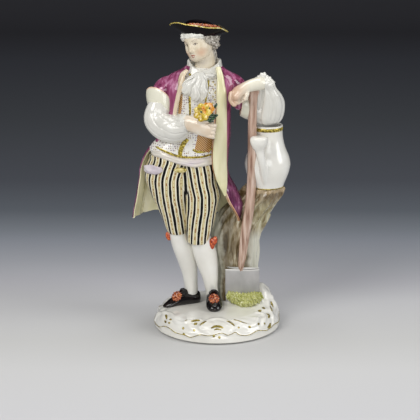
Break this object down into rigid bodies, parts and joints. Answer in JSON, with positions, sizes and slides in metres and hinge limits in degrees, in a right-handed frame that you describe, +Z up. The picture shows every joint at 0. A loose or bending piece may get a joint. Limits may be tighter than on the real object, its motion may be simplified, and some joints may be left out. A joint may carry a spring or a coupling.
{
  "type": "porcelain figure of a gardener",
  "caption": "Standing porcelain gardener in open coat and cocked hat, leaning on a spade beside a tree stump with a watering can, on a round scrolled base.",
  "frame": {"origin": "centre of the round base's underside, on the surface it stands on", "axes": "+Z up; -Y is the front, the way the gardener's body faces; +X is the viewer's right, where the stump is"},
  "size_m": [0.1017, 0.0816, 0.2003],
  "materials": {
    "glazed_porcelain": "glossy clear glaze over hand-painted enamel colours and gilding"
  },
  "bodies": {
    "root": {"gardener_figure": "glazed_porcelain"}
  },
  "joints": []
}
